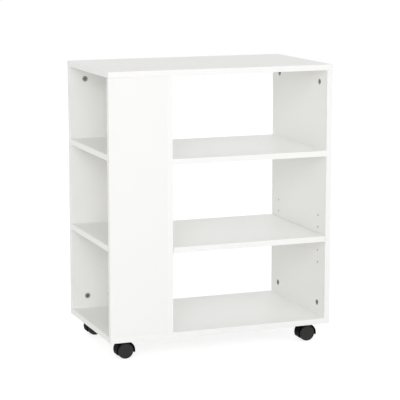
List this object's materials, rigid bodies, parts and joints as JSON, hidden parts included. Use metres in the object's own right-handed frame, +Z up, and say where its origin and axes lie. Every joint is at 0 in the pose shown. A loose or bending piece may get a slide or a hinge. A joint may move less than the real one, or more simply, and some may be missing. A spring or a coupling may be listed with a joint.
{
  "type": "rolling bookcase",
  "caption": "White board bookcase on twin-wheel castors: shelves open from front to back beside a narrow column of shelves that opens at one end.",
  "frame": {"origin": "on the floor, under the middle of the carcass", "axes": "+Z up, -Y towards the front, -X towards the open end of the narrow column"},
  "size_m": [0.615, 0.358, 0.746],
  "materials": {
    "white_board": "white melamine-faced chipboard, fine matt texture",
    "white_edging": "white banding, satin",
    "cam_metal": "die-cast zinc, dull",
    "plated_steel": "zinc plated",
    "beech": "bare fluted beech",
    "black_hood": "moulded nylon, fine matt texture",
    "black_wheel": "moulded nylon, satin"
  },
  "bodies": {
    "carcass": {"top_panel": "white_board", "bottom_panel": "white_board", "right_side_panel": "white_board", "partition_panel": "white_board", "front_left_panel": "white_board", "back_left_panel": "white_board", "upper_shelf": "white_board", "adjustable_shelf": "white_board", "left_upper_shelf": "white_board", "left_lower_shelf": "white_board", "top_edging": "white_edging", "bottom_edging": "white_edging", "upright_edging": "white_edging", "shelf_edging": "white_edging", "cam_locks": "cam_metal", "cam_bolts": "plated_steel", "wood_dowels": "beech", "shelf_pins": "plated_steel", "castor_screws": "plated_steel", "swivel_pins": "plated_steel", "swivel_washers": "plated_steel", "castor_plate_front_left": "plated_steel", "castor_plate_front_right": "plated_steel", "castor_plate_back_left": "plated_steel", "castor_plate_back_right": "plated_steel"},
    "castor_front_left": {"castor_hood_front_left": "black_hood", "axle_front_left": "plated_steel"},
    "wheel_near_front_left": {"wheel_near_front_left": "black_wheel"},
    "wheel_far_front_left": {"wheel_far_front_left": "black_wheel"},
    "castor_front_right": {"castor_hood_front_right": "black_hood", "axle_front_right": "plated_steel"},
    "wheel_near_front_right": {"wheel_near_front_right": "black_wheel"},
    "wheel_far_front_right": {"wheel_far_front_right": "black_wheel"},
    "castor_back_left": {"castor_hood_back_left": "black_hood", "axle_back_left": "plated_steel"},
    "wheel_near_back_left": {"wheel_near_back_left": "black_wheel"},
    "wheel_far_back_left": {"wheel_far_back_left": "black_wheel"},
    "castor_back_right": {"castor_hood_back_right": "black_hood", "axle_back_right": "plated_steel"},
    "wheel_near_back_right": {"wheel_near_back_right": "black_wheel"},
    "wheel_far_back_right": {"wheel_far_back_right": "black_wheel"}
  },
  "joints": [
    {"name": "swivel_front_left", "type": "hinge", "parent": "carcass", "child": "castor_front_left", "pos_m": [-0.2495, -0.132, 0.0485], "axis": [0, 0, 1], "continuous": true},
    {"name": "roll_near_front_left", "type": "hinge", "parent": "castor_front_left", "child": "wheel_near_front_left", "pos_m": [-0.2575, -0.132, 0.021], "axis": [0, 1, 0], "continuous": true},
    {"name": "roll_far_front_left", "type": "hinge", "parent": "castor_front_left", "child": "wheel_far_front_left", "pos_m": [-0.2575, -0.132, 0.021], "axis": [0, 1, 0], "continuous": true},
    {"name": "swivel_front_right", "type": "hinge", "parent": "carcass", "child": "castor_front_right", "pos_m": [0.2645, -0.132, 0.0485], "axis": [0, 0, 1], "continuous": true},
    {"name": "roll_near_front_right", "type": "hinge", "parent": "castor_front_right", "child": "wheel_near_front_right", "pos_m": [0.2565, -0.132, 0.021], "axis": [0, 1, 0], "continuous": true},
    {"name": "roll_far_front_right", "type": "hinge", "parent": "castor_front_right", "child": "wheel_far_front_right", "pos_m": [0.2565, -0.132, 0.021], "axis": [0, 1, 0], "continuous": true},
    {"name": "swivel_back_left", "type": "hinge", "parent": "carcass", "child": "castor_back_left", "pos_m": [-0.2495, 0.132, 0.0485], "axis": [0, 0, 1], "continuous": true},
    {"name": "roll_near_back_left", "type": "hinge", "parent": "castor_back_left", "child": "wheel_near_back_left", "pos_m": [-0.2575, 0.132, 0.021], "axis": [0, 1, 0], "continuous": true},
    {"name": "roll_far_back_left", "type": "hinge", "parent": "castor_back_left", "child": "wheel_far_back_left", "pos_m": [-0.2575, 0.132, 0.021], "axis": [0, 1, 0], "continuous": true},
    {"name": "swivel_back_right", "type": "hinge", "parent": "carcass", "child": "castor_back_right", "pos_m": [0.2645, 0.132, 0.0485], "axis": [0, 0, 1], "continuous": true},
    {"name": "roll_near_back_right", "type": "hinge", "parent": "castor_back_right", "child": "wheel_near_back_right", "pos_m": [0.2565, 0.132, 0.021], "axis": [0, 1, 0], "continuous": true},
    {"name": "roll_far_back_right", "type": "hinge", "parent": "castor_back_right", "child": "wheel_far_back_right", "pos_m": [0.2565, 0.132, 0.021], "axis": [0, 1, 0], "continuous": true}
  ]
}
